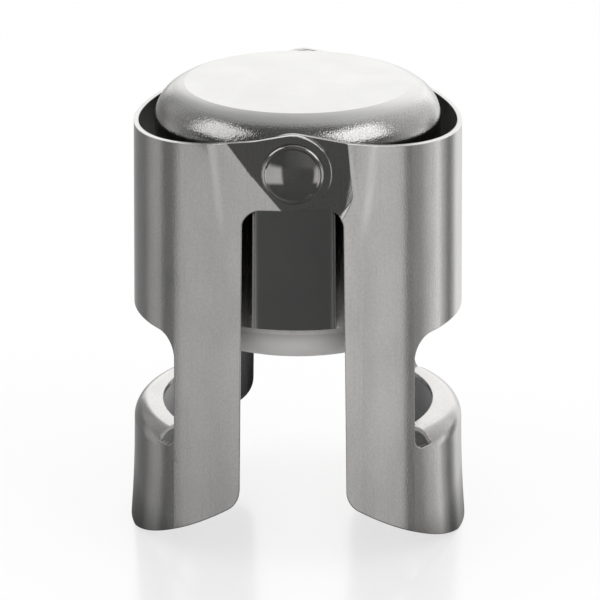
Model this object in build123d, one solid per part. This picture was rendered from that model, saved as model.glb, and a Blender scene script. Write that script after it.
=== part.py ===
from build123d import *
import math
import os

# Stopper for a sparkling wine bottle: steel cap, two hinged wings and a sprung seal.
# Millimetres; the feet stand on z = 0, the cap's axis is Z and the seen rivet is at -Y.

# Cap
cap_radius = 17.45
cap_wall = 0.8
cap_height = 56.92
cap_depth = 26.27
dome_edge_width = 5.5
dome_edge_rise = 4.55
crown_inset = 3.65
crown_rise = 0.435
cap_pad_depth = 0.25
cap_pad_radius = 3.6

# Wings
sheet = 0.6
hinge_drop = 6.17
ear_radius = 4.6
ear_dish = 0.7
ear_edge_radius = 0.15
rim_rise = 0.75
skirt_edge_drop = 2.3
gap_half_width = 5.87
gap_corner_radius = 2.2
foot_corner_radius = 3.5
window_half_angle = 45.0
window_corner_radius = 3.0
tongue_half_angle = 35.5
lip_height = 15.3
notch_rise = 0.1
lip_bend_radius = 2.4
lip_reach = 3.1
foot_heel_height = 8.75
foot_middle_height = 3.03
foot_tip_depth = 2.75
foot_tip_overrun = 4.0
foot_blend_height = 12.0
foot_flare = 0.42
foot_flare_angle = 45.0
foot_end_angle = 75.0
foot_height_shares = (1.0, 0.7, 0.35, 0.0, -0.2)
wing_lean = 0.82

# Folds beside the ears
fold_start = 4.9
fold_angle = 20.6
fold_tilt = 6.0
fold_radius = 2.8
recess_radius = 7.6
recess_wall_angle = 40.0

# Rivets and their washers
spacer_thickness = 0.8
spacer_radius = 3.6
spacer_play = 0.02
ear_play = 0.08
head_radius = 3.65
head_rim_height = 0.55
head_rim_radius = 3.25
head_dome_height = 1.15
head_groove_depth = 0.12
head_groove_radius = 3.05
shoulder_radius = 2.0
shoulder_play = 0.05
shank_radius = 1.5
shank_play = 0.05
burr_radius = 2.6
burr_thickness = 0.5
burr_play = 0.3
tail_radius = 2.3
tail_height = 0.7

# Housing inside the cap
liner_play = 0.05
housing_wall = 1.2
housing_top_drop = 1.8
housing_roof = 1.2
plunger_top_play = 0.7
housing_lip_thickness = 1.5
housing_lip_width = 1.8
housing_pad_thickness = 1.6
housing_pad_half_width = 3.4

# Plunger, seal and screw
travel = 6.0
seal_play = 0.25
seal_drop = 5.35
seal_thickness = 4.4
seal_edge_width = 6.0
seal_edge_rise = 4.0
seal_recess_radius = 5.2
seal_recess_depth = 2.1
flange_thickness = 1.5
hub_side_play = 0.3
hub_wall = 1.2
hub_rim_side_play = 0.2
hub_rim_thickness = 1.4
hub_rim_play = 0.05
hub_slot_width = 2.0
hub_slot_depth = 5.5
screw_boss_radius = 4.0
screw_boss_height = 3.0
screw_radius = 1.5
screw_play = 0.05
screw_length = 5.2
screw_head_radius = 2.9
screw_head_height = 1.1
screw_cross_length = 3.4
screw_cross_width = 0.7
screw_cross_depth = 0.6
washer_radius = 4.8
washer_thickness = 0.6

# Spring
spring_side_play = 1.3
spring_wire_radius = 0.7
spring_turns = 5.0
spring_guide_play = 0.3
spring_guide_height = 1.2
spring_guide_wall = 1.6

# Heights and radii that follow
cap_edge_height = cap_height - cap_depth
crown_radius = cap_radius - crown_inset
hinge_height = cap_height - hinge_drop
cap_bore = cap_radius - cap_wall
cap_pad_face = cap_radius - cap_pad_depth
inner_ear_inside = cap_pad_face + spacer_thickness + spacer_play
inner_ear_face = inner_ear_inside + sheet
outer_ear_inside = inner_ear_face + ear_play
outer_ear_face = outer_ear_inside + sheet
head_seat = outer_ear_face + ear_play
wing_radius = outer_ear_face + ear_dish
wing_bore = wing_radius - sheet
lip_grip_radius = wing_radius - lip_reach
notch_height = lip_height + notch_rise
foot_tip_reach = wing_radius + foot_tip_overrun
housing_radius = cap_bore - liner_play
housing_top = cap_height - housing_top_drop
housing_ceiling = housing_top - housing_roof
housing_pad_face = housing_radius - housing_pad_thickness
hub_top = hinge_height - burr_radius - plunger_top_play - travel
housing_ledge = hub_top - hub_rim_thickness - hub_rim_play
housing_mouth = housing_ledge - housing_lip_thickness
hub_rim_radius = housing_pad_face - hub_rim_side_play
housing_lip_bore = hub_rim_radius - housing_lip_width
hub_radius = housing_lip_bore - hub_side_play
seal_radius = cap_bore - seal_play
seal_bottom = cap_edge_height - seal_drop
seal_top = seal_bottom + seal_thickness
flange_top = seal_top + flange_thickness
tail_face = housing_pad_face - burr_thickness
reach = cap_height + foot_tip_reach
spring_radius = hub_radius - hub_wall - spring_side_play - spring_wire_radius
spring_guide_radius = spring_radius - spring_wire_radius - spring_guide_play


def ring(inner, outer, low, high):
    """Plain ring about the cap's axis."""
    profile = Pos((inner + outer) / 2, (low + high) / 2) * Rectangle(outer - inner, high - low)
    return revolve(Plane.XZ * profile, Axis.Z)


def disc(radius, low, high):
    """Plain disc about the cap's axis."""
    return Pos(0, 0, low) * Cylinder(radius, high - low, align=(Align.CENTER, Align.CENTER, Align.MIN))


def hinge_disc(radius, near, far):
    """Disc on the hinge axis between two distances in front of the cap's axis."""
    body = Cylinder(radius, far - near, align=(Align.CENTER, Align.CENTER, Align.MIN))
    return Pos(0, -near, hinge_height) * Rot(90, 0, 0) * body


def beyond(origin, normal):
    """Large block that fills the space on one side of a plane."""
    plane = Plane(origin=origin, z_dir=normal)
    return plane * Box(2 * reach, 2 * reach, 2 * reach, align=(Align.CENTER, Align.CENTER, Align.MIN))


def sector(half_angle, inner, outer, low, high):
    """Wedge of a ring, centred on the left side."""
    profile = Pos((inner + outer) / 2, (low + high) / 2) * Rectangle(outer - inner, high - low)
    wedge = revolve(Plane.XZ * profile, Axis.Z, 2 * half_angle)
    return Rot(0, 0, 180 - half_angle) * wedge


def crown_arc(radius, low, top):
    """Arc from a rim up to the axis, its centre on the axis."""
    rise = top - low
    bow = (radius * radius + rise * rise) / (2 * rise)
    half = math.asin(radius / bow) / 2
    return ThreePointArc((radius, low), (bow * math.sin(half), top - bow + bow * math.cos(half)), (0, top))


# Cap shell

def cap_profile(inset):
    """Half section of the domed cap, drawn in by an even thickness."""
    side = cap_radius - inset
    centre_x = cap_radius - dome_edge_width
    start = math.acos((crown_radius - centre_x) / dome_edge_width)
    centre_z = cap_height - crown_rise - dome_edge_rise * math.sin(start)
    edge_x = dome_edge_width - inset
    edge_z = dome_edge_rise - inset
    ring_x = centre_x + edge_x * math.cos(start)
    ring_z = centre_z + edge_z * math.sin(start)
    top = cap_height - inset
    edge = EllipticalCenterArc((centre_x, centre_z), edge_x, edge_z, 0, arc_size=math.degrees(start))
    crown = crown_arc(ring_x, ring_z, top)
    base = Polyline((0, top), (0, cap_edge_height), (side, cap_edge_height), edge @ 0)
    return make_face(edge + crown + base)


def make_cap_shell():
    shell = revolve(Plane.XZ * (cap_profile(0) - cap_profile(cap_wall)), Axis.Z)
    for turn in (0, 180):
        shell -= Rot(0, 0, turn) * hinge_disc(cap_pad_radius, cap_pad_face, reach)
        shell -= Rot(0, 0, turn) * hinge_disc(shank_radius + shank_play, 0, reach)
    return shell


# Wings

def fold_block(side, inset):
    """Space outside the flat of an ear and the slanted flank beside it; side is -1 in front, 1 behind."""
    bend = math.radians(fold_angle)
    turn = math.radians(fold_tilt)
    face = outer_ear_face - inset
    radius = fold_radius - inset
    start = fold_start - (fold_radius - radius) * math.tan(bend / 2) - radius * math.tan(bend / 2)
    first = (start, face)
    middle = (start + radius * math.sin(bend / 2), face - radius + radius * math.cos(bend / 2))
    last = (start + radius * math.sin(bend), face - radius + radius * math.cos(bend))
    far = (last[0] + reach * math.cos(bend), last[1] - reach * math.sin(bend))
    bound = Polyline(last, far, (far[0], reach), (-reach, reach), (-reach, face), first)
    space = make_face(ThreePointArc(first, middle, last) + bound)
    across = Vector(-math.cos(turn), 0, math.sin(turn))
    along = Vector(math.sin(turn), 0, math.cos(turn)) * -side
    plane = Plane(origin=(0, 0, hinge_height), x_dir=across, z_dir=along)
    return extrude(plane * space, reach, both=True)


def recess_block(inset):
    """Round recess behind for the covered ear, with a sloping wall."""
    slope = math.radians(recess_wall_angle)
    floor = inner_ear_face - inset
    radius = recess_radius + inset * (1 / math.cos(slope) - math.tan(slope))
    depth = foot_tip_reach - floor
    tool = Cone(
        radius,
        radius + depth * math.tan(slope),
        depth,
        align=(Align.CENTER, Align.CENTER, Align.MIN),
    )
    return Pos(0, floor, hinge_height) * Rot(-90, 0, 0) * tool


def wing_body(inset):
    """Round wing body with flats for both ears, drawn in by an even thickness."""
    body = disc(wing_radius - inset, foot_blend_height, reach)
    body -= fold_block(-1, inset)
    body -= fold_block(1, inset)
    body -= recess_block(inset)
    return body


def foot_section(height):
    """Ring piece at one height, its middle bent outward more and more towards the table."""
    drop = (foot_blend_height - height) / foot_blend_height
    bulge = foot_flare * drop * drop
    between = (foot_flare_angle + foot_end_angle) / 2
    sides = (-foot_end_angle, -between, -foot_flare_angle, 0, foot_flare_angle, between, foot_end_angle)
    spots = []
    for radius in (wing_radius, wing_bore):
        row = []
        for angle in sides:
            turn = math.radians(180 - angle)
            push = bulge if angle == 0 else 0
            row.append(((radius + push) * math.cos(turn), (radius + push) * math.sin(turn)))
        spots.append(row)
    edges = [ThreePointArc(*row[step : step + 3]) for row in spots for step in (0, 2, 4)]
    edges += [Line(spots[0][end], spots[1][end]) for end in (0, -1)]
    return Plane.XY.offset(height) * make_face(edges)


def make_foot():
    return loft([foot_section(foot_blend_height * share) for share in foot_height_shares])


def wing_outline():
    """Front view of the left wing: rim, ear, gap edge and the curved foot."""
    rim_height = hinge_height + rim_rise
    distance = math.hypot(wing_radius, rim_height - hinge_height)
    dip = math.atan2(hinge_height - rim_height, wing_radius)
    rise = dip + math.asin(ear_radius / distance)
    touch = math.radians(90) + rise
    ear_top = (ear_radius * math.cos(touch), hinge_height + ear_radius * math.sin(touch))
    rim_end = (-foot_tip_reach, rim_height - (foot_tip_reach - wing_radius) * math.tan(rise))
    gap_top = hinge_height - ear_radius
    middle = wing_radius * math.cos(math.radians(window_half_angle))
    rim = Line(rim_end, ear_top)
    ear = ThreePointArc(ear_top, (ear_radius, hinge_height), (0, gap_top))
    gap = Polyline((0, gap_top), (-gap_half_width, gap_top), (-gap_half_width, foot_heel_height))
    foot = ThreePointArc(
        (-gap_half_width, foot_heel_height),
        (-middle, foot_middle_height),
        (-foot_tip_reach, -foot_tip_depth),
    )
    side = Line((-foot_tip_reach, -foot_tip_depth), rim_end)
    outline = make_face(rim + ear + gap + foot + side)
    gap_corner = outline.vertices().sort_by_distance((-gap_half_width, gap_top, 0))[0]
    outline = fillet(gap_corner, gap_corner_radius)
    foot_corner = outline.vertices().sort_by_distance((-gap_half_width, foot_heel_height, 0))[0]
    outline = fillet(foot_corner, foot_corner_radius)
    return outline


def window_block():
    """Space of the window between skirt and tongue, with the round relief notches."""
    window_top = cap_edge_height - skirt_edge_drop
    near = wing_radius / 2
    block = sector(window_half_angle, near, foot_tip_reach, notch_height, window_top)
    corners = [
        edge
        for edge in block.edges().filter_by(GeomType.LINE)
        if abs(edge.center().Z - window_top) < sheet and abs((edge @ 0).Z - (edge @ 1).Z) < sheet
    ]
    block = fillet(corners, window_corner_radius)
    block += sector(tongue_half_angle, near, foot_tip_reach, lip_height - lip_bend_radius, notch_height)
    half = (window_half_angle - tongue_half_angle) / 2
    spread = math.tan(math.radians(half))
    notch_floor = notch_height - wing_radius * spread
    block += sector(tongue_half_angle + half, near, foot_tip_reach, notch_floor, notch_height)
    length = foot_tip_reach - near
    notch = Cone(
        near * spread,
        foot_tip_reach * spread,
        length,
        align=(Align.CENTER, Align.CENTER, Align.MIN),
    )
    notch = Pos(0, 0, notch_height) * Rot(0, -90, 0) * Pos(0, 0, near) * notch
    for turn in (-1, 1):
        block += Rot(0, 0, turn * (tongue_half_angle + half)) * notch
    return block


def make_lip():
    """Tongue end bent inward to grip the bottle's neck."""
    bend_height = lip_height - lip_bend_radius
    bend_centre = wing_radius - lip_bend_radius
    inner_bend = lip_bend_radius - sheet
    slant = math.sqrt(0.5)
    free_end = lip_grip_radius - lip_bend_radius
    outer_arc = ThreePointArc(
        (wing_radius, bend_height),
        (bend_centre + lip_bend_radius * slant, bend_height + lip_bend_radius * slant),
        (bend_centre, lip_height),
    )
    inner_arc = ThreePointArc(
        (wing_bore, bend_height),
        (bend_centre + inner_bend * slant, bend_height + inner_bend * slant),
        (bend_centre, lip_height - sheet),
    )
    end = Polyline(
        (bend_centre, lip_height),
        (free_end, lip_height),
        (free_end, lip_height - sheet),
        (bend_centre, lip_height - sheet),
    )
    base = Line((wing_bore, bend_height), (wing_radius, bend_height))
    profile = Plane.XZ * make_face(outer_arc + inner_arc + end + base)
    return Rot(0, 0, 180 - tongue_half_angle) * revolve(profile, Axis.Z, 2 * tongue_half_angle)


def ear_edge_waste(face):
    """Corner that the deburred stamping lacks round an ear whose outer face is at this distance."""
    radius = ear_edge_radius
    slant = radius * (1 - math.sqrt(0.5))
    arc = ThreePointArc(
        (ear_radius - radius, face),
        (ear_radius - slant, face - slant),
        (ear_radius, face - radius),
    )
    outside = Polyline(
        (ear_radius, face - radius),
        (ear_radius + radius, face - radius),
        (ear_radius + radius, face + radius),
        (ear_radius - radius, face + radius),
        (ear_radius - radius, face),
    )
    waste = Pos(0, 0, hinge_height) * make_face(arc + outside)
    waste = revolve(waste, Axis((0, 0, hinge_height), (0, 1, 0)))
    return waste & beyond((0, 0, 0), (1, 0, 0))


def make_left_arm():
    body = wing_body(0) - wing_body(sheet) + make_foot()
    body &= extrude(Plane.XZ * wing_outline(), reach, both=True)
    body -= mirror(ear_edge_waste(outer_ear_face), Plane.XZ)
    body -= ear_edge_waste(inner_ear_face)
    body -= window_block()
    body += make_lip()
    for turn in (0, 180):
        body -= Rot(0, 0, turn) * hinge_disc(shoulder_radius + shoulder_play, 0, reach)
    body = Pos(0, 0, hinge_height) * Rot(0, wing_lean, 0) * Pos(0, 0, -hinge_height) * body
    body -= disc(lip_grip_radius, lip_height / 2, notch_height + sheet)
    body -= beyond((0, 0, 0), (0, 0, -1))
    return body


# Rivets

def make_rivet():
    """Front rivet: domed head, shoulder through the ears, shank and clinched tail."""
    groove = (head_groove_radius, head_rim_height - head_groove_depth)
    crest = (head_rim_radius, head_rim_height)
    swell = head_radius - head_rim_radius
    slant = swell * math.sqrt(0.5)
    shoulder = head_rim_height - swell
    dome = crown_arc(groove[0], groove[1], head_dome_height)
    rim = Line(groove, crest)
    edge = ThreePointArc(crest, (head_rim_radius + slant, shoulder + slant), (head_radius, shoulder))
    base = Polyline((head_radius, shoulder), (head_radius, 0), (0, 0), (0, head_dome_height))
    head = revolve(Plane.XZ * make_face(dome + rim + edge + base), Axis.Z)
    rivet = Pos(0, -head_seat, hinge_height) * Rot(90, 0, 0) * head
    rivet += hinge_disc(shoulder_radius, cap_pad_face, head_seat)
    rivet += hinge_disc(shank_radius, tail_face, cap_pad_face)
    rivet += hinge_disc(tail_radius, tail_face - tail_height, tail_face)
    return rivet


def make_spacer():
    return hinge_disc(spacer_radius, cap_pad_face, cap_pad_face + spacer_thickness) - hinge_disc(
        shoulder_radius + shoulder_play, 0, reach
    )


def make_burr_washer():
    return hinge_disc(burr_radius, tail_face, housing_pad_face) - hinge_disc(
        shank_radius + shank_play, 0, reach
    )


# Housing, plunger and seal

def make_housing():
    """Liner with a roof, a mouth lip that keeps the plunger in and pads behind the rivets."""
    outside = revolve(Plane.XZ * cap_profile(cap_wall + liner_play), Axis.Z)
    outside &= disc(cap_radius, housing_mouth, housing_top)
    cavity = revolve(Plane.XZ * cap_profile(cap_wall + liner_play + housing_wall), Axis.Z)
    cavity &= disc(cap_radius, housing_ledge, housing_ceiling)
    body = outside - cavity
    body -= disc(housing_lip_bore, housing_mouth, housing_ledge)
    body += ring(
        spring_guide_radius - spring_guide_wall,
        spring_guide_radius,
        housing_ceiling - spring_guide_height,
        housing_ceiling,
    )
    for turn in (0, 180):
        pad = Pos(0, -housing_pad_face, hinge_height) * Box(
            2 * housing_pad_half_width,
            housing_pad_thickness,
            2 * housing_pad_half_width,
            align=(Align.CENTER, Align.MAX, Align.CENTER),
        )
        body += Rot(0, 0, turn) * (pad & outside)
        body -= Rot(0, 0, turn) * hinge_disc(burr_radius + burr_play, housing_pad_face / 2, housing_pad_face)
        body -= Rot(0, 0, turn) * hinge_disc(shank_radius + shank_play, 0, reach)
    return body


def make_carrier():
    """Plunger carrier: flange over the seal, hollow hub and snap rim."""
    body = disc(seal_radius, seal_top, flange_top)
    body += ring(hub_radius - hub_wall, hub_radius, flange_top, hub_top)
    body += ring(hub_radius - hub_wall, hub_rim_radius, hub_top - hub_rim_thickness, hub_top)
    body += ring(
        spring_guide_radius - spring_guide_wall,
        spring_guide_radius,
        flange_top,
        flange_top + spring_guide_height,
    )
    body += disc(screw_boss_radius, flange_top, flange_top + screw_boss_height)
    body -= disc(screw_radius + screw_play, seal_top, flange_top + screw_boss_height)
    slot = Pos(0, 0, hub_top) * Box(
        2 * reach,
        hub_slot_width,
        hub_slot_depth,
        align=(Align.CENTER, Align.CENTER, Align.MAX),
    )
    for turn in (45, 135):
        body -= Rot(0, 0, turn) * slot
    return body


def make_seal():
    """Silicone seal with a soft outer edge and a recess for the screw."""
    centre_x = seal_radius - seal_edge_width
    edge = EllipticalCenterArc(
        (centre_x, seal_bottom + seal_edge_rise),
        seal_edge_width,
        seal_edge_rise,
        270,
        arc_size=90,
    )
    rest = Polyline(edge @ 1, (seal_radius, seal_top), (0, seal_top), (0, seal_bottom), edge @ 0)
    body = revolve(Plane.XZ * make_face(edge + rest), Axis.Z)
    body -= disc(seal_recess_radius, seal_bottom, seal_bottom + seal_recess_depth)
    body -= disc(screw_radius + screw_play, seal_bottom, seal_top)
    return body


def make_seal_washer():
    floor = seal_bottom + seal_recess_depth
    return ring(screw_radius + screw_play, washer_radius, floor - washer_thickness, floor)


def make_seal_screw():
    seat = seal_bottom + seal_recess_depth - washer_thickness
    body = disc(screw_head_radius, seat - screw_head_height, seat)
    body = fillet(body.edges().filter_by(GeomType.CIRCLE).sort_by(Axis.Z)[0], screw_head_height / 2)
    body += disc(screw_radius, seat, seat + screw_length)
    for turn in (0, 90):
        cross = Pos(0, 0, seat - screw_head_height) * Box(
            screw_cross_length,
            screw_cross_width,
            screw_cross_depth,
            align=(Align.CENTER, Align.CENTER, Align.MIN),
        )
        body -= Rot(0, 0, turn) * cross
    return body


# Spring

def helix_spot(turns, low, high):
    """Point and direction on the coil's middle line after some turns."""
    angle = 2 * math.pi * turns
    climb = (high - low) / (2 * math.pi * spring_turns)
    spot = Vector(spring_radius * math.cos(angle), spring_radius * math.sin(angle), low + climb * angle)
    return spot, Vector(-spring_radius * math.sin(angle), spring_radius * math.cos(angle), climb).normalized()


def biarc(first, leaving, last, arriving):
    """Two arcs that join two points, tangent to each other and to both directions."""
    chord = last - first
    both = leaving + arriving
    along = chord.dot(both)
    bend = 2 * (1 - leaving.dot(arriving))
    arm = (math.sqrt(along * along + bend * chord.dot(chord)) - along) / bend
    near = first + leaving * arm
    far = last - arriving * arm
    middle = (near + far) * 0.5
    return [TangentArc(first, middle, tangent=leaving), TangentArc(middle, last, tangent=far - near)]


def make_spring():
    """Compression spring between the carrier's flange and the housing's roof."""
    low = flange_top + spring_wire_radius
    high = housing_ceiling - spring_wire_radius
    quarters = round(4 * spring_turns)
    edges = []
    for step in range(quarters):
        first, leaving = helix_spot(spring_turns * step / quarters, low, high)
        last, arriving = helix_spot(spring_turns * (step + 1) / quarters, low, high)
        edges += biarc(first, leaving, last, arriving)
    first, leaving = helix_spot(0, low, high)
    wire = Plane(origin=first, z_dir=leaving) * Circle(spring_wire_radius)
    return sweep(wire, path=Wire(edges))


# Export

def main():
    os.makedirs("parts", exist_ok=True)
    left_arm = make_left_arm()
    rivet = make_rivet()
    spacer = make_spacer()
    burr_washer = make_burr_washer()
    behind = Rot(0, 0, 180)
    pieces = {
        "cap_shell": make_cap_shell(),
        "inner_housing": make_housing(),
        "compression_spring": make_spring(),
        "seal_carrier": make_carrier(),
        "stopper_seal": make_seal(),
        "seal_washer": make_seal_washer(),
        "seal_screw": make_seal_screw(),
        "left_arm": left_arm,
        "right_arm": behind * left_arm,
        "front_rivet": rivet,
        "rear_rivet": behind * rivet,
        "front_spacer": spacer,
        "rear_spacer": behind * spacer,
        "front_burr_washer": burr_washer,
        "rear_burr_washer": behind * burr_washer,
    }
    for name, piece in pieces.items():
        export_step(piece, f"parts/{name}.step")


main()
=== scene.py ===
import math

import bpy
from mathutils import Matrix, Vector


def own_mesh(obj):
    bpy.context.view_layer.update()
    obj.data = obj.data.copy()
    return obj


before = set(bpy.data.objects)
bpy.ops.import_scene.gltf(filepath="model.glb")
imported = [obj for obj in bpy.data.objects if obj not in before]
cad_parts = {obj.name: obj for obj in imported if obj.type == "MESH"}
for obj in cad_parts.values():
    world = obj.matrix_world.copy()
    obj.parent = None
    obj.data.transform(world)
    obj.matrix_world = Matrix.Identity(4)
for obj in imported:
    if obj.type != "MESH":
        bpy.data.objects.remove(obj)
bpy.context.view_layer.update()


# Camera
# A long lens a little above the stopper, square on to the front rivet.

camera_target = Vector((0.000255, 0.0, 0.02822))
camera_distance = 0.4004
camera_azimuth = math.radians(1.80)
camera_elevation = math.radians(19.87)
camera_back = Vector((
    math.sin(camera_azimuth) * math.cos(camera_elevation),
    -math.cos(camera_azimuth) * math.cos(camera_elevation),
    math.sin(camera_elevation),
))
camera_data = bpy.data.cameras.new("camera")
camera_data.sensor_width = 36.0
camera_data.lens = 193.25
camera_data.clip_start = 0.01
camera_data.clip_end = 20.0
camera = bpy.data.objects.new("camera", camera_data)
camera.location = camera_target + camera_back * camera_distance
camera.rotation_mode = "QUATERNION"
camera.rotation_quaternion = (-camera_back).to_track_quat("-Z", "Y")
bpy.context.scene.collection.objects.link(camera)
bpy.context.scene.camera = camera


# Wings
# Two stampings of thin stainless sheet with a fine satin face. The sheet was ground
# along its length, so it carries short faint streaks and a soft, slightly cloudy shine.

def new_material(name):
    """Empty node material with its output and shader."""
    material = bpy.data.materials.new(name)
    material.use_nodes = True
    material.node_tree.nodes.clear()
    output = material.node_tree.nodes.new("ShaderNodeOutputMaterial")
    shader = material.node_tree.nodes.new("ShaderNodeBsdfPrincipled")
    material.node_tree.links.new(shader.outputs["BSDF"], output.inputs["Surface"])
    return material, shader


def add_node(material, kind, settings=None, **sockets):
    """One node; a socket's value is a number, a colour or another node's output."""
    node = material.node_tree.nodes.new("ShaderNode" + kind)
    for key, value in (settings or {}).items():
        setattr(node, key, value)
    for key, value in sockets.items():
        by_number = key[0] == "i" and key[1:].isdigit()
        socket = node.inputs[int(key[1:]) if by_number else key]
        if isinstance(value, bpy.types.NodeSocket):
            material.node_tree.links.new(value, socket)
        else:
            socket.default_value = value
    return node


def object_place(material, stretch=(1.0, 1.0, 1.0)):
    """Object coordinates in metres, stretched for a streaked or even pattern."""
    place = add_node(material, "TexCoord")
    mapping = add_node(material, "Mapping", Vector=place.outputs["Object"], Scale=stretch)
    return mapping.outputs["Vector"]


def ramp(material, value, stops):
    """Colour ramp over a value; each stop is a place and a grey or a colour."""
    node = add_node(material, "ValToRGB", Fac=value)
    while len(node.color_ramp.elements) < len(stops):
        node.color_ramp.elements.new(1.0)
    for element, (spot, colour) in zip(node.color_ramp.elements, stops):
        element.position = spot
        element.color = (*colour, 1.0) if isinstance(colour, tuple) else (colour, colour, colour, 1.0)
    return node.outputs["Color"]


def dress(name, material):
    """Gives a frame node its own finish."""
    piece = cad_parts[name]
    for slot in piece.material_slots:
        slot.material = material


def link_socket(material, value, shader, socket):
    material.node_tree.links.new(value, shader.inputs[socket])


def maths(material, operation, first, second=0.0, third=0.0):
    """One sum or comparison; each term is a number or another node's output."""
    return add_node(material, "Math", {"operation": operation}, i0=first, i1=second, i2=third).outputs["Value"]


def share(material, value, low, high, soft=True):
    """0 at the low value, 1 at the high one, and in between from one to the other."""
    settings = {"interpolation_type": "SMOOTHSTEP" if soft else "LINEAR"}
    node = add_node(material, "MapRange", settings, Value=value)
    node.inputs["From Min"].default_value = low
    node.inputs["From Max"].default_value = high
    return node.outputs["Result"]


def product(material, first, second):
    return maths(material, "MULTIPLY", first, second)


def leaning(material, height, slope, distance):
    """Distance measured from a line that leans with the height."""
    return maths(material, "MULTIPLY_ADD", height, slope, distance)


def mixed(material, amount, first, second):
    """Colour between two others; 0 gives the first and 1 the second."""
    return add_node(material, "Mix", {"data_type": "RGBA"}, i0=amount, i6=first, i7=second).outputs[2]


def tinted(material, colour, shade):
    """Colour darkened by a grey."""
    settings = {"data_type": "RGBA", "blend_type": "MULTIPLY"}
    return add_node(material, "Mix", settings, i0=1.0, i6=colour, i7=shade).outputs[2]


def noise(material, stretch, detail):
    """Cloudy pattern; the stretch is in waves a metre, one number or one for each axis."""
    spread = stretch if isinstance(stretch, tuple) else (stretch, stretch, stretch)
    texture = add_node(material, "TexNoise", Vector=object_place(material, spread), Scale=1.0, Detail=detail)
    return texture.outputs["Fac"]


def turned(material, normal, push):
    """Normal leaned over by a push, both in world directions."""
    leaned = add_node(material, "VectorMath", {"operation": "ADD"}, i0=normal, i1=push)
    even = add_node(material, "VectorMath", {"operation": "NORMALIZE"}, i0=leaned.outputs["Vector"])
    return even.outputs["Vector"]


wing_steel, wing_shader = new_material("wing_steel")
hinge_height = 0.05075
wing_lean = math.radians(0.82)
wing_place = add_node(wing_steel, "SeparateXYZ", Vector=object_place(wing_steel))
wing_x, wing_y, wing_z = (wing_place.outputs[axis] for axis in "XYZ")
below_hinge = maths(wing_steel, "SUBTRACT", wing_z, hinge_height)
off_x = maths(wing_steel, "ABSOLUTE", wing_x)
off_y = maths(wing_steel, "ABSOLUTE", wing_y)

# The inner face is dull, as the press left it, and its colour is painted shade, darker towards the top between
# the wing and the cap; the outer face is brushed.
# The outer face is what lies past the inner wall or the covered ear's sheet, or on the lip.
inner_wall_end = (0.01944, 0.01950)
covered_ear_sheet = (0.01795, 0.01860)
lip_bottom = (0.0131, 0.0136)
lip_top = (0.0165, 0.0160)
lip_side = (0.0120, 0.0117)
straight_x = leaning(wing_steel, below_hinge, math.sin(wing_lean), off_x)
straight_squared = product(wing_steel, straight_x, straight_x)
radius_squared = maths(wing_steel, "MULTIPLY_ADD", wing_y, wing_y, straight_squared)
from_axis = maths(wing_steel, "SQRT", radius_squared)
past_wall = share(wing_steel, from_axis, *inner_wall_end)
past_ear = share(wing_steel, off_y, *covered_ear_sheet)
lip_band = product(wing_steel, share(wing_steel, wing_z, *lip_bottom), share(wing_steel, wing_z, *lip_top))
on_lip = product(wing_steel, lip_band, share(wing_steel, off_y, *lip_side))
outer_share = maths(wing_steel, "MAXIMUM", maths(wing_steel, "MAXIMUM", past_wall, past_ear), on_lip)

streaks = noise(wing_steel, (2600.0, 2600.0, 260.0), 3.0)
clouds = noise(wing_steel, (190.0, 190.0, 120.0), 5.0)
grain = noise(wing_steel, (4200.0, 4200.0, 3000.0), 2.0)
scratches = noise(wing_steel, (5200.0, 5200.0, 90.0), 1.0)

# Painted highlights: the crease beside each ear and all cut edges are coloured brighter, standing in for the
# light they catch.
crease_reach = 0.0092
crease_half_width = 0.0008
crease_slope = 0.105
crease_end = (-0.009, -0.004)
crease_highlight_strength = 0.45
rounded_edge_radius = 0.00018
edge_highlight_turn = (0.985, 0.90)
painted_highlight_steel = (0.88, 0.87, 0.86, 1.0)
crease_run = leaning(wing_steel, below_hinge, -crease_slope, off_x)
crease_gap = maths(wing_steel, "ABSOLUTE", maths(wing_steel, "SUBTRACT", crease_run, crease_reach))
crease_highlight_share = product(
    wing_steel, share(wing_steel, crease_gap, crease_half_width, 0.0), share(wing_steel, below_hinge, *crease_end)
)
soft_edge = add_node(wing_steel, "Bevel", {"samples": 6}, Radius=rounded_edge_radius).outputs["Normal"]
true_normal = add_node(wing_steel, "NewGeometry").outputs["Normal"]
edge_turn = add_node(wing_steel, "VectorMath", {"operation": "DOT_PRODUCT"}, i0=soft_edge, i1=true_normal)
edge_highlight_share = share(wing_steel, edge_turn.outputs["Value"], *edge_highlight_turn)
painted_highlight_share = maths(wing_steel, "MAXIMUM", product(wing_steel, crease_highlight_share, crease_highlight_strength), edge_highlight_share)

outer_colour = ramp(wing_steel, clouds, [
    (0.28, (0.582, 0.576, 0.570)), (0.50, (0.628, 0.618, 0.607)), (0.74, (0.664, 0.650, 0.634)),
])
grain_shade = ramp(wing_steel, grain, [(0.30, 0.90), (0.70, 1.0)])
scratch_shade = ramp(wing_steel, scratches, [(0.30, 0.95), (0.38, 1.0)])
outer_tone = tinted(wing_steel, tinted(wing_steel, outer_colour, grain_shade), scratch_shade)
# Painted shade: the inner face is coloured darker from the feet up towards the cap.
inner_height = share(wing_steel, wing_z, 0.010, 0.050, soft=False)
inner_painted_shade_tone = ramp(wing_steel, inner_height, [
    (0.0, 0.85), (0.30, 0.80), (0.50, 0.62), (0.85, 0.30), (1.0, 0.26),
])
# Painted highlight along the creases and the cut edges.
outer_tone = mixed(wing_steel, painted_highlight_share, outer_tone, painted_highlight_steel)
link_socket(wing_steel, mixed(wing_steel, outer_share, inner_painted_shade_tone, outer_tone), wing_shader, "Base Color")
inner_rough = (0.34, 0.34, 0.34, 1.0)
outer_rough = ramp(wing_steel, streaks, [(0.30, 0.11), (0.72, 0.17)])
link_socket(wing_steel, mixed(wing_steel, outer_share, inner_rough, outer_rough), wing_shader, "Roughness")

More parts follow.
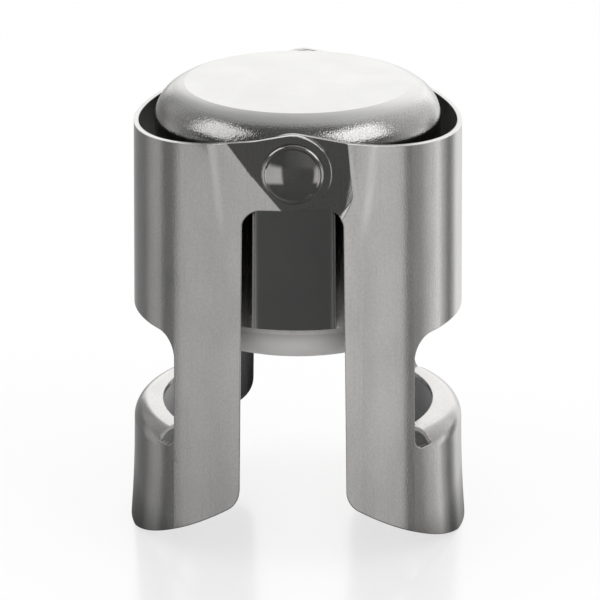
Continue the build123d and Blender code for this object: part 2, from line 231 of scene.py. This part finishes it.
# The pressed flat of the outer ear ends on a slanted line, and the sheet rolls off softly
# beyond it. The covered ear's flat ends on a steeper line, and its flank is rounder.
# Runs are distances from those lines towards the skirt; pushes are slopes.
lowest_turn = -0.010
flat_reach = 0.0049
flank_slope = 0.376
half_bend = 0.0005
fold_lean = 0.105
slant_lean = -0.82
covered_lean = -0.17
roll_push, covered_push, flank_push = 0.28, 0.30, 0.15
side_sign = maths(wing_steel, "SIGN", wing_y)
near_hinge = maths(wing_steel, "MAXIMUM", below_hinge, lowest_turn)
outer_side = product(wing_steel, wing_x, side_sign)
past_flat = maths(wing_steel, "SUBTRACT", outer_side, flat_reach)
fold_run = leaning(wing_steel, near_hinge, fold_lean, past_flat)
slant_run = leaning(wing_steel, near_hinge, slant_lean, past_flat)
past_slant = share(wing_steel, slant_run, -half_bend, half_bend)
past_fold = share(wing_steel, fold_run, -half_bend, half_bend, soft=False)
slant_push = product(wing_steel, maths(wing_steel, "SUBTRACT", past_slant, past_fold), flank_slope)
roll_run = maths(wing_steel, "MINIMUM", slant_run, fold_run)
roll_rise = share(wing_steel, roll_run, 0.0, 0.0030)
roll_end = share(wing_steel, roll_run, 0.0062, 0.0030)
roll_share = product(wing_steel, roll_rise, roll_end)
outer_push = maths(wing_steel, "MULTIPLY_ADD", roll_share, roll_push, slant_push)

covered_side = product(wing_steel, outer_side, -1.0)
covered_run = leaning(wing_steel, near_hinge, covered_lean, covered_side)
flank_run = leaning(wing_steel, near_hinge, fold_lean, covered_side)
on_flank = share(wing_steel, flank_run, 0.0070, 0.0073)
on_flat = maths(wing_steel, "SUBTRACT", 1.0, on_flank)
flat_roll = product(wing_steel, share(wing_steel, covered_run, 0.0057, 0.0072), on_flat)
flank_rise = share(wing_steel, covered_run, 0.0068, 0.0088)
flank_end = share(wing_steel, covered_run, 0.0102, 0.0088)
flank_roll = product(wing_steel, product(wing_steel, flank_rise, flank_end), on_flank)
round_push = product(wing_steel, flank_roll, flank_push)
inner_push = maths(wing_steel, "MULTIPLY_ADD", flat_roll, covered_push, round_push)

push = product(wing_steel, maths(wing_steel, "SUBTRACT", outer_push, inner_push), side_sign)
push_across = add_node(wing_steel, "CombineXYZ", X=push).outputs["Vector"]
to_world = {"vector_type": "VECTOR", "convert_from": "OBJECT", "convert_to": "WORLD"}
world_push = add_node(wing_steel, "VectorTransform", to_world, Vector=push_across).outputs["Vector"]
ear_normal = turned(wing_steel, soft_edge, world_push)
wing_bump = add_node(wing_steel, "Bump", Height=streaks, Normal=ear_normal, Strength=0.07, Distance=0.00003)
wing_grain = add_node(
    wing_steel, "Bump", Height=grain, Normal=wing_bump.outputs["Normal"], Strength=0.35, Distance=0.00002
)
link_socket(wing_steel, wing_grain.outputs["Normal"], wing_shader, "Normal")
wing_shader.inputs["Metallic"].default_value = 1.0
dress("left_arm", wing_steel)
dress("right_arm", wing_steel)


# Cap
# One deep-drawn stainless cup. Its flat top is satin, the drawn shoulder keeps the
# pebbled skin that stretched steel gets, and the side wall is polished.

cap_steel, cap_shader = new_material("cap_steel")
cap_place = add_node(cap_steel, "SeparateXYZ", Vector=object_place(cap_steel))
shoulder_low, shoulder_high = 0.0505, 0.0561
shoulder_share = share(cap_steel, cap_place.outputs["Z"], shoulder_low, shoulder_high, soft=False)
pebbles = noise(cap_steel, 5600.0, 1.0)
cap_clouds = noise(cap_steel, 220.0, 3.0)
wall_streaks = noise(cap_steel, (900.0, 900.0, 14.0), 2.0)
cap_rough = ramp(cap_steel, shoulder_share, [(0.00, 0.07), (0.12, 0.08), (0.85, 0.09), (0.97, 0.34)])
link_socket(cap_steel, cap_rough, cap_shader, "Roughness")

# Painted shade: the pebbles' hollows are coloured a little darker.
painted_hollow_shade = -0.16
pebble_share = ramp(cap_steel, shoulder_share, [(0.00, 0.0), (0.10, 1.0), (0.88, 1.0), (0.97, 0.15)])
hollows = product(cap_steel, share(cap_steel, pebbles, 0.62, 0.36), pebble_share)
hollow_shade = maths(cap_steel, "MULTIPLY_ADD", hollows, painted_hollow_shade, 1.0)
# The flat top is tinted lighter than the shoulder and the wall: painted light on the top.
cap_painted_light_tint = ramp(cap_steel, shoulder_share, [
    (0.00, (0.58, 0.572, 0.565)), (0.10, (0.62, 0.61, 0.60)),
    (0.70, (0.64, 0.63, 0.62)), (0.93, (0.74, 0.735, 0.725)),
])
cap_shade = ramp(cap_steel, cap_clouds, [(0.30, 0.94), (0.72, 1.0)])
cap_colour = tinted(cap_steel, tinted(cap_steel, cap_painted_light_tint, cap_shade), hollow_shade)
link_socket(cap_steel, cap_colour, cap_shader, "Base Color")
pebble_height = product(cap_steel, pebbles, pebble_share)
pebble_bump = add_node(cap_steel, "Bump", Height=pebble_height, Strength=1.0, Distance=0.000026)
wall_bump = add_node(
    cap_steel, "Bump", Height=wall_streaks, Normal=pebble_bump.outputs["Normal"], Strength=0.05, Distance=0.00004
)
link_socket(cap_steel, wall_bump.outputs["Normal"], cap_shader, "Normal")
cap_shader.inputs["Metallic"].default_value = 1.0
dress("cap_shell", cap_steel)


# Rivets
# Turned stainless rivets with polished domed heads, clinched inside the cap. The heads
# sit a little askew, so they mirror one side of the room more than the other.

def simple_finish(name, stretch, detail, rough, colour, metallic=0.0):
    """Material whose roughness and colour follow one cloudy pattern."""
    material, shader = new_material(name)
    pattern = noise(material, stretch, detail)
    link_socket(material, ramp(material, pattern, rough), shader, "Roughness")
    link_socket(material, ramp(material, pattern, colour), shader, "Base Color")
    shader.inputs["Metallic"].default_value = metallic
    return material


rivet_steel = simple_finish(
    "rivet_steel", 900.0, 5.0, [(0.35, 0.05), (0.75, 0.13)],
    [(0.30, (0.54, 0.53, 0.52)), (0.70, (0.60, 0.59, 0.58))], 1.0,
)
head_skew = 0.10
rivet_place = add_node(rivet_steel, "SeparateXYZ", Vector=object_place(rivet_steel))
head_side = maths(rivet_steel, "SIGN", rivet_place.outputs["Y"])
head_push = add_node(rivet_steel, "CombineXYZ", X=product(rivet_steel, head_side, head_skew)).outputs["Vector"]
head_normal = add_node(rivet_steel, "NewGeometry").outputs["Normal"]
rivet_shader = rivet_steel.node_tree.nodes["Principled BSDF"]
link_socket(rivet_steel, turned(rivet_steel, head_normal, head_push), rivet_shader, "Normal")
dress("front_rivet", rivet_steel)
dress("rear_rivet", rivet_steel)


# Washers and screw
# Small punched and turned steel parts, left as they come from the press.

plain_steel = simple_finish(
    "plain_steel", 1800.0, 4.0, [(0.3, 0.24), (0.7, 0.38)],
    [(0.3, (0.50, 0.50, 0.50)), (0.7, (0.60, 0.60, 0.60))], 1.0,
)
for name in (
    "front_spacer", "rear_spacer", "front_burr_washer", "rear_burr_washer", "seal_washer", "seal_screw",
):
    dress(name, plain_steel)


# Spring
# Drawn stainless wire, wound and left with its die lines.

spring_wire = simple_finish(
    "spring_wire", (700.0, 700.0, 4200.0), 3.0, [(0.3, 0.22), (0.7, 0.40)],
    [(0.3, (0.46, 0.46, 0.47)), (0.7, (0.58, 0.58, 0.58))], 1.0,
)
dress("compression_spring", spring_wire)
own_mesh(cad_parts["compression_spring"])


# Housing
# Black moulded liner with a faint moulded grain.

liner_plastic = simple_finish(
    "liner_plastic", 2400.0, 2.0, [(0.3, 0.48), (0.7, 0.62)],
    [(0.3, (0.030, 0.030, 0.032)), (0.7, (0.042, 0.042, 0.045))],
)
dress("inner_housing", liner_plastic)


# Seal and its carrier
# White moulded carrier with a thick white silicone disc held under it by a screw. The disc's colour is painted
# shade, greyer towards the cap where less light gets in between them, and painted light, near white at its lower
# edge.

seal_bottom, seal_top = 0.0253, 0.0297
silicone, silicone_shader = new_material("silicone")
bloom = noise(silicone, 300.0, 4.0)
seal_place = add_node(silicone, "SeparateXYZ", Vector=object_place(silicone))
seal_rise = share(silicone, seal_place.outputs["Z"], seal_bottom, seal_top, soft=False)
# Painted shade and light: grey under the cap, near white at the lower edge.
seal_painted_light_tone = ramp(silicone, seal_rise, [
    (0.0, (0.97, 0.96, 0.94)), (0.45, (0.66, 0.65, 0.64)), (1.0, (0.42, 0.41, 0.40)),
])
seal_shade = ramp(silicone, bloom, [(0.3, 0.95), (0.7, 1.0)])
link_socket(silicone, tinted(silicone, seal_painted_light_tone, seal_shade), silicone_shader, "Base Color")
link_socket(silicone, ramp(silicone, bloom, [(0.3, 0.42), (0.7, 0.55)]), silicone_shader, "Roughness")
silicone_shader.inputs["Subsurface Weight"].default_value = 0.08
silicone_shader.inputs["Subsurface Scale"].default_value = 0.002
dress("stopper_seal", silicone)

# The white carrier is coloured mid grey: painted shade under the cap.
carrier_plastic = simple_finish(
    "carrier_plastic", 1500.0, 2.0, [(0.3, 0.26), (0.7, 0.34)],
    [(0.3, (0.50, 0.49, 0.48)), (0.7, (0.54, 0.53, 0.52))],
)
dress("seal_carrier", carrier_plastic)


# Floor
# A white glossy board. The camera sees it white with the shadow and a faint mirror image; polished steel looks
# past it into the studio, with painted shade darkening what it mirrors close to the feet.

def seen_by(owner):
    """1 for what the camera sees itself or through glass, and 1 for what metal mirrors."""
    rays = add_node(owner, "LightPath")
    direct = maths(owner, "MAXIMUM", rays.outputs["Is Camera Ray"], rays.outputs["Is Transmission Ray"])
    return direct, rays.outputs["Is Glossy Ray"]


def mixed_shader(owner, amount, first, second):
    return add_node(owner, "MixShader", Fac=amount, i1=first, i2=second).outputs["Shader"]


floor_size = 3.0
floor_drop = 0.00002
lit_share = 0.26
gloss_share = 0.12
dark_reach = 0.10
bpy.ops.object.select_all(action="DESELECT")
bpy.ops.mesh.primitive_plane_add(size=floor_size, location=(0.0, 0.6, -floor_drop))
floor = bpy.context.object
floor.name = "floor"
bpy.ops.object.transform_apply(location=True, rotation=True, scale=True)
floor_white, floor_shader = new_material("floor_white")
floor_shader.inputs["Base Color"].default_value = (0.86, 0.86, 0.86, 1.0)
floor_shader.inputs["Roughness"].default_value = 0.6
lit_board = floor_shader.outputs["BSDF"]
pure_white = add_node(floor_white, "Emission", Color=(1.0, 1.0, 1.0, 1.0), Strength=1.0).outputs["Emission"]
polish = add_node(floor_white, "BsdfGlossy", Color=(1.0, 1.0, 1.0, 1.0), Roughness=0.16).outputs["BSDF"]
plain_board = mixed_shader(floor_white, lit_share, pure_white, lit_board)
board = mixed_shader(floor_white, gloss_share, plain_board, polish)
floor_place = add_node(floor_white, "TexCoord")
floor_distance = add_node(floor_white, "VectorMath", {"operation": "LENGTH"}, i0=floor_place.outputs["Object"])
floor_reach = share(floor_white, floor_distance.outputs["Value"], 0.0, dark_reach, soft=False)
# Painted shade: what the metal mirrors through the board darkens close to the feet.
mirror_painted_shade = ramp(floor_white, floor_reach, [(0.0, 0.10), (0.20, 0.25), (0.30, 0.80), (0.75, 1.0)])
studio_glimpse = add_node(floor_white, "BsdfTransparent", Color=mirror_painted_shade).outputs["BSDF"]
seen_direct, seen_mirrored = seen_by(floor_white)
mirrored_board = mixed_shader(floor_white, seen_mirrored, lit_board, studio_glimpse)
floor_look = mixed_shader(floor_white, seen_direct, mirrored_board, board)
floor_output = floor_white.node_tree.nodes["Material Output"]
floor_white.node_tree.links.new(floor_look, floor_output.inputs["Surface"])
floor.data.materials.append(floor_white)


# Studio and lamps
# A white room for the camera. Polished steel mirrors a tent of white cloth with a dark
# opening in front, a few dark stands at the sides, and a bright ceiling behind.

def around(degrees):
    """Place on a ramp for a direction round the stopper; 0 is in front, 90 to the right."""
    return 0.5 + degrees / 360.0


def ring_ramp(owner, value, stops):
    """Ramp round the stopper, its stops in degrees."""
    return ramp(owner, value, [(around(degrees), tone) for degrees, tone in stops])


studio = bpy.data.worlds.new("studio")
studio.use_nodes = True
bpy.context.scene.world = studio
studio.node_tree.nodes.clear()
studio_output = studio.node_tree.nodes.new("ShaderNodeOutputWorld")
direction = add_node(studio, "TexCoord").outputs["Generated"]
direction_parts = add_node(studio, "SeparateXYZ", Vector=direction)
to_right, to_back, to_top = (direction_parts.outputs[axis] for axis in "XYZ")
turn = maths(studio, "ARCTAN2", to_right, product(studio, to_back, -1.0))
turn_share = share(studio, turn, -math.pi, math.pi, soft=False)
tent = ring_ramp(studio, turn_share, [
    (-180, 0.70), (-160, 0.34), (-148, 0.24), (-132, 0.20), (-124, 0.36), (-116, 0.44), (-110, 0.42),
    (-105, 0.18), (-94, 0.20), (-88, 0.54), (-60, 0.58), (-36, 0.60), (-31, 0.10), (29, 0.085),
    (34, 0.58), (60, 0.72), (79, 0.66), (84, 0.18), (89, 0.34), (96, 0.36), (104, 0.62), (112, 0.78),
    (117, 1.10), (122, 0.62), (133, 0.20), (140, 0.45), (148, 1.0), (180, 0.70),
])

# Above the tent the ceiling changes from front to back, and is brighter on the right.
back_share = share(studio, to_back, -0.2, 1.0, soft=False)
ceiling = ramp(studio, back_share, [
    (0.0, 0.12), (0.13, 0.27), (0.29, 0.42), (0.50, 0.47),
    (0.667, 0.60), (0.75, 0.66), (0.85, 0.52), (1.0, 0.45),
])
side_share = share(studio, to_right, -0.9, 0.6, soft=False)
ceiling_side = ramp(studio, side_share, [
    (0.07, 0.62), (0.27, 0.60), (0.40, 0.86), (0.60, 1.0), (0.80, 1.25),
])
ceiling_tone = tinted(studio, ceiling, ceiling_side)

# A white panel stands behind the stopper and fills its flat top.
panel_white = (1.30, 1.30, 1.29, 1.0)
panel_width = ring_ramp(studio, turn_share, [
    (-180, 1.0), (-162, 1.0), (-155, 0.0), (142, 0.0), (155, 1.0), (180, 1.0),
])
panel_share = product(studio, panel_width, share(studio, to_back, 0.66, 0.78))
overhead = mixed(studio, panel_share, ceiling_tone, panel_white)
tent_height = ring_ramp(studio, turn_share, [
    (-180, -0.06), (-158, -0.06), (-148, 0.16), (-120, 0.16), (-100, 0.0), (170, 0.0), (180, 0.05),
])
rise = share(studio, maths(studio, "SUBTRACT", to_top, tent_height), -0.10, 0.10)
walls = mixed(studio, rise, tent, overhead)

# Below the tent, in front, the table runs into the dark.
table_tone = (0.09, 0.09, 0.09, 1.0)
table_front = product(studio, share(studio, to_top, -0.46, -0.58), share(studio, to_back, 0.2, -0.2))
mirror_tone = mixed(studio, table_front, walls, table_tone)

# The camera sees pure white, the metal the tent, and the light comes from a plain room.
room_white = (1.0, 1.0, 1.0, 1.0)
mirror_room = add_node(studio, "Background", Color=mirror_tone, Strength=1.0).outputs["Background"]
plain_room = add_node(studio, "Background", Color=room_white, Strength=0.85).outputs["Background"]
white_room = add_node(studio, "Background", Color=room_white, Strength=1.0).outputs["Background"]
seen_direct, seen_mirrored = seen_by(studio)
lit_room = mixed_shader(studio, seen_mirrored, plain_room, mirror_room)
studio_look = mixed_shader(studio, seen_direct, lit_room, white_room)
studio.node_tree.links.new(studio_look, studio_output.inputs["Surface"])

lamp_aim = Vector((0.0, 0.0, 0.03))
for name, spot, width, height, power in (
    ("left_box", (-0.495, -0.125, 0.440), 0.44, 0.40, 0.51),
    ("right_box", (0.433, -0.230, 0.465), 0.46, 0.43, 0.77),
):
    lamp_data = bpy.data.lights.new(name, "AREA")
    lamp_data.shape = "RECTANGLE"
    lamp_data.size = width
    lamp_data.size_y = height
    lamp_data.energy = power
    lamp = bpy.data.objects.new(name, lamp_data)
    lamp.location = spot
    lamp.rotation_mode = "QUATERNION"
    lamp.rotation_quaternion = (lamp_aim - Vector(spot)).to_track_quat("-Z", "Y")
    bpy.context.scene.collection.objects.link(lamp)

bpy.context.scene.view_settings.view_transform = "Standard"
